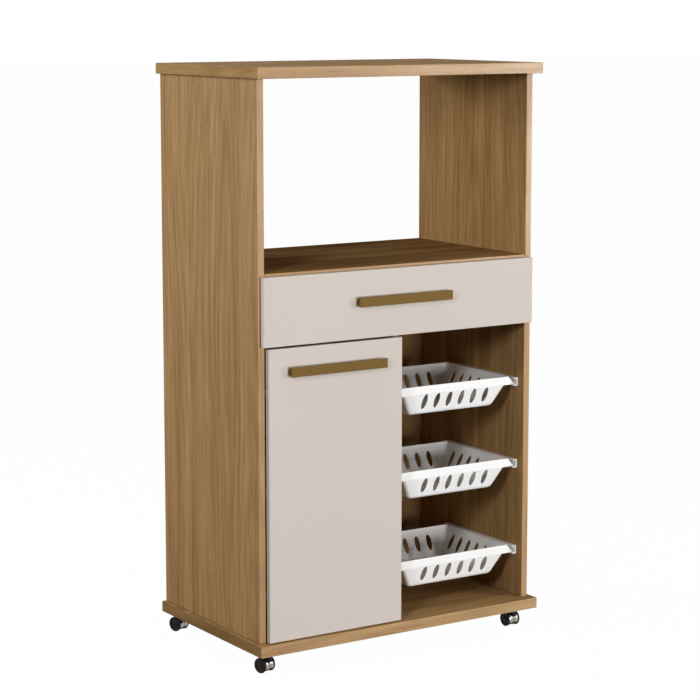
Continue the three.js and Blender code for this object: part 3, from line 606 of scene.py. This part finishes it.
def basketShell(look, halfTip):
    # The grid of rings with each slot's cell taken out: on both skins the cell's border is joined to
    # an oval, and the two ovals to each other.
    points, cells, innerStart, outerStart, tub = basketPoints(look, halfTip)
    rows, count = points.shape[:2]
    quads = gridFaces(rows, count)
    keep = np.ones(quads.shape[:2], bool)
    width, tall = look["cellColumns"], look["cellRows"]
    across, up = np.arange(width + 1), np.arange(tall + 1)
    # The border of a cell: along its foot, up, back along its head and down.
    borderI = np.concatenate([across, np.full(tall, width), across[::-1][1:], np.zeros(tall - 1, int)])
    borderJ = np.concatenate([np.zeros(width + 1, int), up[1:], np.full(width, tall), up[::-1][1:-1]])
    angle = np.arctan2(borderJ / tall * 2 - 1, borderI / width * 2 - 1)
    ovalAlong = look["slotWidth"] / 2 * np.cos(angle)
    ovalUp = look["slotLength"] / 2 * np.sin(angle)
    border = len(angle)
    extra, faces = [], []
    start = rows * count
    ring = np.arange(border)
    following = (ring + 1) % border
    for cell in cells:
        column, facing = cell["column"], cell["facing"]
        isFront = cell["side"] == "front"
        lean = math.radians(look["frontLean"] if isFront else 0.0)
        z = look["frontSlotHeight" if isFront else "slotHeight"]
        z = z + ovalUp * math.cos(lean) - ovalAlong * math.sin(lean)
        along = cell["centre"] + facing * (ovalAlong * math.cos(lean) + ovalUp * math.sin(lean))
        loops = []
        for surfaceStart, inset, flipped in ((innerStart, look["wall"], False), (outerStart, 0, True)):
            half, near, far, _, _ = tub(z, inset)
            x, y = {"front": (along, near), "right": (half, along),
                    "back": (along, far), "left": (-half, along)}[cell["side"]]
            extra.append(np.stack([x, y, z], -1))
            oval = start + ring
            start += border
            loops.append(oval)
            rowIndex = surfaceStart + (tall - borderJ if flipped else borderJ)
            edge = rowIndex * count + column + borderI
            faces.append(np.stack([edge, edge[following], oval[following], oval], -1))
            keep[surfaceStart:surfaceStart + tall, column:column + width] = False
        faces.append(np.stack([loops[0], loops[0][following], loops[1][following], loops[1]], -1))
    everything = np.vstack([points.reshape(-1, 3), *extra])
    cellFaces = np.vstack([quads[keep], *faces])
    used, numbered = np.unique(cellFaces, return_inverse=True)
    cellFaces = numbered.reshape(cellFaces.shape)
    lookUp = {int(old): new for new, old in enumerate(used[used < count])}
    floorFace = [lookUp[index] for index in range(count)]
    bottomStart = (rows - 1) * count
    newOf = np.searchsorted(used, np.arange(bottomStart, bottomStart + count))
    return everything[used], cellFaces.tolist() + [floorFace, newOf.tolist()]


for basketName in ("basket_top", "basket_middle", "basket_bottom"):
    low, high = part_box(basketName)
    shellPoints, shellFaces = basketShell(basketLook, (high.x - low.x) / 2)
    shellPoints = shellPoints + np.array([(low.x + high.x) / 2, low.y, low.z])
    newPiece(basketName + "_shell", shellPoints, shellFaces, "whitePlastic", bodyOf[basketName],
             (basketName,), (basketLook["ease"], 2))
for level in ("top", "middle", "bottom"):
    for side in ("left", "right"):
        softened(f"rail_{level}_{side}", "whitePlastic", edgeEase["plastic"])
print("baskets and rails finished")


# Casters.

wheelLook = {
    "inner": 0.0033, "flange": 0.0116, "outer": 0.0150, "radius": 0.0155, "tread": 0.0139,
    "rim": 0.0123, "recess": 0.0011, "groove": 0.0094, "hub": 0.0052, "bore": 0.0023, "round": 0.0004,
    "boreDepth": 0.010, "chamfer": 0.0012, "rimSlope": 0.0008, "grooveHalf": 0.0006,
    "hubSlope": 0.0012, "hubEdge": 0.0004, "hubDrop": 0.0003,
}
hoodLook = {
    "inner": 0.0143, "wall": 0.0012, "half": 0.0113, "web": 0.0030, "start": -30.0, "end": 150.0,
    "webInner": 0.0045, "lap": 0.0002, "plateGap": 0.0003,
    "hub": 0.0060, "bore": 0.0023, "pin": 0.0030, "pinRise": 0.0023, "boss": 0.0055, "bossHeight": 0.0170,
    "steps": 40, "across": 28, "crest": 0.0064, "valley": 0.0009, "shoulder": 0.0008, "ease": 0.0001,
    # Half width of the painted-shade crease, and the heights below and above which the cover is painted black as
    # shade.
    "paintedShadeCrease": 0.0009, "paintedShadeBelow": -0.0055, "paintedShadeAbove": 0.0088,
}


def wheelShape(centre, outward):
    # Half section from the axle's bore over the tread and flange to the dished outer face and the hub.
    look = wheelLook
    outer, rim, groove, hub = look["outer"], look["rim"], look["groove"], look["hub"]
    dish, boreEnd = outer - look["recess"], look["inner"] + look["boreDepth"]
    profile = [
        (0.0, boreEnd), (look["bore"], boreEnd),
        (look["bore"], look["inner"]), (look["tread"], look["inner"]),
        (look["tread"], look["flange"]), (look["radius"], look["flange"]),
        (look["radius"], outer - look["chamfer"]), (look["radius"] - look["chamfer"], outer),
        (rim, outer), (rim - look["rimSlope"], dish),
        (groove + look["grooveHalf"], dish), (groove, dish - look["grooveHalf"]),
        (groove - look["grooveHalf"], dish), (hub + look["hubSlope"], dish),
        (hub + look["hubEdge"], outer - look["hubDrop"]), (hub - look["hubSlope"], outer), (0.0, outer),
    ]
    return revolved(profile, centre, outward)


def hoodShape(centre, axle, trailing, stem, top):
    # In the plane across the axle a point is centre + forward * cos + up * sin. Across the hood the
    # radius has a crest over each wheel, a valley between them and a fall towards both ends.
    look = hoodLook
    axle, trailing = np.asarray(axle), np.asarray(trailing)
    up = np.array([0.0, 0.0, 1.0])
    angles = np.radians(np.linspace(180 - look["end"], 180 - look["start"], look["steps"] + 1))
    direction = np.cos(angles)[:, None] * trailing + np.sin(angles)[:, None] * up

    def band(radii, sides):
        # Closed cross-section of radii and places along the axle, carried round the arc.
        radii, sides = np.asarray(radii), np.asarray(sides)
        grid = centre + direction[:, None] * radii[None, :, None] + axle * sides[None, :, None]
        rows, count = len(angles), len(radii)
        ring = np.arange(count)
        ends = [ring.tolist(), ((rows - 1) * count + ring[::-1]).tolist()]
        return grid.reshape(-1, 3), gridFaces(rows, count).reshape(-1, 4).tolist() + ends

    spread = np.linspace(-look["half"], look["half"], look["across"] + 1)
    dip = look["valley"] * (0.5 + 0.5 * np.cos(math.pi * spread / look["crest"]))
    outward = (np.abs(spread) - look["crest"]) / (look["half"] - look["crest"])
    fall = np.where(outward < 0, dip, look["shoulder"] * outward ** 2)
    outer = look["inner"] + look["wall"] - fall
    shell = band([*outer, look["inner"], look["inner"]], [*spread, look["half"], -look["half"]])
    webEnd, webTop, webFoot = look["web"] - look["lap"], look["inner"] + look["lap"], look["webInner"]
    web = band([webFoot, webTop, webTop, webFoot], [-webEnd, -webEnd, webEnd, webEnd])
    hub = revolved([(look["bore"], -look["web"]), (look["hub"], -look["web"]), (look["hub"], look["web"]),
                    (look["bore"], look["web"]), (look["bore"], -look["web"])], centre, axle, 32)
    boss = revolved([(0.0, top - look["bossHeight"]), (look["boss"], top - look["bossHeight"]),
                     (look["boss"], top), (look["pin"], top), (look["pin"], top + look["pinRise"]),
                     (0.0, top + look["pinRise"])], (stem[0], stem[1], 0.0), up, 40)
    return gathered([shell, web, hub, boss])


for corner in casterCorners:
    stem = np.array(jointOf[f"caster_{corner}_turn"]["pos_m"])
    spin = jointOf[f"caster_{corner}_wheel_right_spin"]
    axle = np.array(spin["axis"], float)
    offset = np.array(spin["pos_m"]) - stem
    offset[2] = 0.0
    offset -= axle * offset.dot(axle)
    trailing = offset / np.linalg.norm(offset)
    centre = np.array([stem[0] + offset[0], stem[1] + offset[1], spin["pos_m"][2]])
    for wheelName in ("wheel_left", "wheel_right"):
        nodeName = f"caster_{corner}_{wheelName}"
        low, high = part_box(nodeName)
        middle = np.array((low + high) / 2)
        outward = axle * math.copysign(1.0, (middle - centre).dot(axle))
        points, faces = wheelShape(centre, outward)
        newPiece(nodeName + "_turned", points, faces, "blackWheel", bodyOf[nodeName], (nodeName,),
                 (wheelLook["round"], 2))
    nodeName = f"caster_{corner}_hood"
    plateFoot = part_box(f"caster_{corner}_plate")[0].z
    points, faces = hoodShape(centre, axle, trailing, stem, plateFoot - hoodLook["plateGap"])
    hood = newPiece(nodeName + "_shell", points, faces, "chromeHood", bodyOf[nodeName], (nodeName,),
                    (hoodLook["ease"], 2))
    # Painted shade and painted dark reflection: the crease between the wheels, the stem and the cover's top and
    # foot take the wheels' black instead of chrome.
    hood.data.materials.append(materials["blackWheel"])
    middles = np.array([face.center for face in hood.data.polygons]) - centre
    paintedShadeFaces = ((np.abs(middles @ axle) < hoodLook["paintedShadeCrease"])
              | (middles[:, 2] < hoodLook["paintedShadeBelow"]) | (middles[:, 2] > hoodLook["paintedShadeAbove"]))
    hood.data.polygons.foreach_set("material_index", paintedShadeFaces.astype(np.int32))
    softened(f"caster_{corner}_plate", "platedSteel", edgeEase["steel"])
    refinish(f"caster_{corner}_axle", "platedSteel")
print("casters finished")


# Hinges, runners, pins.

for height in ("upper", "lower"):
    for part in ("cup", "plate", "arm"):
        softened(f"hinge_{part}_{height}", "platedSteel", edgeEase["steel"])
for side in ("left", "right"):
    softened(f"drawer_runner_{side}", "whitePlastic", edgeEase["plastic"])
    for end in ("front", "back"):
        refinish(f"shelf_pin_{side}_{end}", "platedSteel")
print("hinges, runners and pins finished")


# Screw heads and buffers.

def screwHead(radius, rise):
    # Domed head with a cross recess, on a square grid drawn round into a disc: x = u sqrt(1 - v v / 2),
    # y = v sqrt(1 - u u / 2), and a height that falls with the distance from the middle.
    lines = np.array([-1, -0.82, -0.58, -0.50, -0.19, -0.12, 0.12, 0.19, 0.50, 0.58, 0.82, 1])
    u, v = np.meshgrid(lines, lines)
    x, y = u * np.sqrt(1 - v ** 2 / 2), v * np.sqrt(1 - u ** 2 / 2)
    arm = ((np.abs(u) < 0.13) & (np.abs(v) < 0.51)) | ((np.abs(v) < 0.13) & (np.abs(u) < 0.51))
    dome = rise * (1 - 0.55 * (x ** 2 + y ** 2))
    z = dome - arm * rise * 0.7
    side = len(lines)
    top = np.stack([x * radius, y * radius, z], -1).reshape(-1, 3)
    grid = gridFaces(side, side, closed=False).reshape(-1, 4).tolist()
    edge = np.concatenate([np.arange(side), np.arange(2, side) * side - 1,
                           side * side - 1 - np.arange(side), np.arange(side - 2, 0, -1) * side])
    foot = top[edge] * [1, 1, 0]
    count = len(edge)
    ring = np.arange(count)
    after = (ring + 1) % count
    skirt = np.stack([edge, edge[after], side * side + after, side * side + ring], -1).tolist()
    return np.vstack([top, foot]), grid + skirt + [(side * side + ring).tolist()]


def placed(shape, place, facing, turn=0.5):
    # Shape standing on a place, its Z turned to where it faces.
    points, faces = shape
    facing = Vector(facing)
    spinCos, spinSin = math.cos(turn), math.sin(turn)
    spin = np.array([[spinCos, spinSin, 0], [-spinSin, spinCos, 0], [0, 0, 1]])
    turned = np.array(facing.to_track_quat("Z", "Y").to_matrix())
    return points @ spin @ turned.T + np.asarray(place), faces


# Radius and rise of each head and buffer, and where they stand, from the ends or the middle of what
# they hold.
fastenerLook = {"small": (0.0033, 0.0011), "flat": (0.0036, 0.0002), "plate": (0.0036, 0.0014),
                "handle": (0.0042, 0.0018), "buffer": (0.0040, 0.0008), "firstTurn": 0.4, "nextTurn": 0.7}
fastenerPlaces = {
    "hingePlate": 0.016, "hingeCup": 0.019, "railWeb": 0.002, "rail": (0.025, 0.125, 0.225),
    "runner": (0.030, 0.165, 0.300), "casterPlate": 0.0135, "handle": 0.080, "doorBuffer": 0.030,
    "doorBufferShift": 0.001, "drawerBufferSide": 0.0055, "drawerBufferFoot": 0.040,
    "drawerBufferHead": 0.030,
}
heads = {"cabinet": [], "door": [], "drawer": []}
for height in ("upper", "lower"):
    low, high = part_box(f"hinge_plate_{height}")
    for side in (-1, 1):
        place = (high.x, (low.y + high.y) / 2,
                 (low.z + high.z) / 2 + side * fastenerPlaces["hingePlate"])
        heads["cabinet"].append((fastenerLook["small"], place, (1, 0, 0)))
    low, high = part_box(f"hinge_cup_{height}")
    for side in (-1, 1):
        place = ((low.x + high.x) / 2, high.y,
                 (low.z + high.z) / 2 + side * fastenerPlaces["hingeCup"])
        heads["door"].append((fastenerLook["small"], place, (0, 1, 0)))
for level in ("top", "middle", "bottom"):
    for side, towards in (("left", 1), ("right", -1)):
        low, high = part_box(f"rail_{level}_{side}")
        web = fastenerPlaces["railWeb"]
        x = low.x + web if towards > 0 else high.x - web
        for distance in fastenerPlaces["rail"]:
            place = (x, low.y + distance, (low.z + high.z) / 2)
            heads["cabinet"].append((fastenerLook["small"], place, (towards, 0, 0)))
for side, towards in (("left", 1), ("right", -1)):
    low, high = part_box(f"drawer_runner_{side}")
    x = high.x if towards > 0 else low.x
    for distance in fastenerPlaces["runner"]:
        place = (x, low.y + distance, (low.z + high.z) / 2)
        heads["cabinet"].append((fastenerLook["flat"], place, (towards, 0, 0)))
for corner in casterCorners:
    low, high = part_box(f"caster_{corner}_plate")
    middle = (low + high) / 2
    for sideX in (-1, 1):
        for sideY in (-1, 1):
            place = (middle.x + sideX * fastenerPlaces["casterPlate"],
                     middle.y + sideY * fastenerPlaces["casterPlate"], low.z)
            heads["cabinet"].append((fastenerLook["plate"], place, (0, 0, -1)))
for handleName, panelName in (("drawer_handle", "drawer_front"), ("door_handle", "door_panel")):
    low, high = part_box(handleName)
    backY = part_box(panelName)[1].y
    for side in (-1, 1):
        place = ((low.x + high.x) / 2 + side * fastenerPlaces["handle"], backY, (low.z + high.z) / 2)
        heads[bodyOf[handleName]].append((fastenerLook["handle"], place, (0, 1, 0)))
for body, wanted in heads.items():
    shapes = []
    for index, (size, place, facing) in enumerate(wanted):
        turn = fastenerLook["firstTurn"] + fastenerLook["nextTurn"] * index
        shapes.append(placed(screwHead(*size), place, facing, turn))
    points, faces = gathered(shapes)
    newPiece(f"{body}_screws", points, faces, "platedSteel", body, smooth=30)

buffers = {"door": [], "drawer": []}
low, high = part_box("door_panel")
dividerLow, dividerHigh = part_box("divider_panel")
for z in (low.z + fastenerPlaces["doorBuffer"], high.z - fastenerPlaces["doorBuffer"]):
    x = (dividerLow.x + dividerHigh.x) / 2 - fastenerPlaces["doorBufferShift"]
    buffers["door"].append((x, high.y, z))
low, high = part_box("drawer_front")
for x in (low.x + fastenerPlaces["drawerBufferSide"], high.x - fastenerPlaces["drawerBufferSide"]):
    for z in (low.z + fastenerPlaces["drawerBufferFoot"], high.z - fastenerPlaces["drawerBufferHead"]):
        buffers["drawer"].append((x, high.y, z))
for body, places in buffers.items():
    radius, thickness = fastenerLook["buffer"]
    profile = [(0, 0), (radius, 0), (radius, thickness * 0.5), (radius * 0.88, thickness), (0, thickness)]
    points, faces = gathered([revolved(profile, place, (0, 1, 0), 28) for place in places])
    newPiece(f"{body}_buffers", points, faces, "clearBuffer", body)
print("fasteners finished")


# Floor, world, lamps and camera.

def seenDirectly(tree):
    # One for camera, mirror and see-through rays, nought for light that bounces.
    path = addNode(tree, "LightPath")
    first = combined(tree, "MAXIMUM", path.outputs["Is Camera Ray"], path.outputs["Is Glossy Ray"])
    return combined(tree, "MAXIMUM", first, path.outputs["Is Transmission Ray"])


# The floor's colour for light that bounces and as it is seen, and how much of its seen white is its own.
floorLook = {"bounce": (98, 97, 95), "direct": (250, 250, 249), "share": 0.985, "size": 80.0,
             "roughness": 0.9}
floorMaterial, tree, shader = newMaterial("floor")
direct = seenDirectly(tree)
tone = addNode(tree, "Mix", {0: direct, 6: linearColor(*floorLook["bounce"]),
                             7: linearColor(*floorLook["direct"])}, data_type="RGBA")
tree.links.new(tone.outputs[2], shader.inputs["Base Color"])
shader.inputs["Roughness"].default_value = floorLook["roughness"]
shader.inputs["Specular IOR Level"].default_value = 0.0
glow = addNode(tree, "Emission", {"Color": (1, 1, 1, 1), "Strength": 1.0})
share = combined(tree, "MULTIPLY", direct, floorLook["share"])
mixed = addNode(tree, "MixShader", {0: share, 1: shader.outputs[0], 2: glow.outputs[0]})
tree.links.new(mixed.outputs[0], tree.nodes["Material Output"].inputs["Surface"])
half = floorLook["size"] / 2
floorMesh = bpy.data.meshes.new("floor")
floorMesh.from_pydata([(-half, -half, 0), (half, -half, 0), (half, half, 0), (-half, half, 0)], [],
                      [(0, 1, 2, 3)])
floorMesh.materials.append(floorMaterial)
floor = bpy.data.objects.new("floor", floorMesh)
bpy.context.scene.collection.objects.link(floor)

worldLook = {"ambient": 0.01, "seen": 1.0}
world = bpy.data.worlds.new("studio")
bpy.context.scene.world = world
world.use_nodes = True
tree = world.node_tree
tree.nodes.clear()
ambient = addNode(tree, "Background", {"Color": (1, 1, 1, 1), "Strength": worldLook["ambient"]})
seen = addNode(tree, "Background", {"Color": (1, 1, 1, 1), "Strength": worldLook["seen"]})
mixed = addNode(tree, "MixShader", {0: seenDirectly(tree), 1: ambient.outputs[0], 2: seen.outputs[0]})
tree.links.new(mixed.outputs[0], addNode(tree, "OutputWorld").inputs["Surface"])

lamps = {
    "front": {"place": (0.45, -6.0, 0.6), "aim": (0.1, 0.0, 0.6), "size": (0.8, 1.2), "power": 192},
    "leftFront": {"place": (-2.8, -2.05, 1.7), "aim": (0.0, 0.0, 0.7), "size": (0.5, 0.8), "power": 38},
    "leftSide": {"place": (-2.4, -0.1, 2.3), "aim": (-0.3, 0.0, 0.9), "size": (1.0, 0.8), "power": 9},
    "leftBack": {"place": (-2.4, 2.0, 1.5), "aim": (-0.1, 0.0, 0.95), "size": (1.1, 0.9), "power": 50},
    "right": {"place": (2.4, -2.5, 0.95), "aim": (0.2, -0.2, 0.8), "size": (0.9, 1.1), "power": 27},
    "top": {"place": (0.0, -0.4, 4.6), "aim": (0.0, 0.0, 1.0), "size": (2.0, 2.0), "power": 38},
    "accent": {"place": (3.0, -3.6, 3.4), "aim": (0.0, -0.2, 0.6), "size": (0.25, 0.25), "power": 22},
}
for lampName, lamp in lamps.items():
    data = bpy.data.lights.new(lampName, "AREA")
    data.shape = "RECTANGLE"
    data.size, data.size_y = lamp["size"]
    data.energy = lamp["power"]
    light = bpy.data.objects.new(lampName, data)
    light.location = lamp["place"]
    direction = Vector(lamp["aim"]) - Vector(lamp["place"])
    light.rotation_euler = direction.to_track_quat("-Z", "Y").to_euler()
    light.visible_camera = False
    bpy.context.scene.collection.objects.link(light)

viewLook = {"place": (-2.4545, -3.775, 1.3083), "yaw": 0.5762, "pitch": 0.1403, "lens": 112.67,
            "shiftY": -0.05}
cameraData = bpy.data.cameras.new("camera")
cameraData.sensor_width = 36.0
cameraData.lens = viewLook["lens"]
cameraData.shift_y = viewLook["shiftY"]
camera = bpy.data.objects.new("camera", cameraData)
camera.location = viewLook["place"]
camera.rotation_euler = (math.pi / 2 - viewLook["pitch"], 0.0, -viewLook["yaw"])
bpy.context.scene.collection.objects.link(camera)
bpy.context.scene.camera = camera
bpy.context.scene.view_settings.view_transform = "Standard"
print("light and camera set")
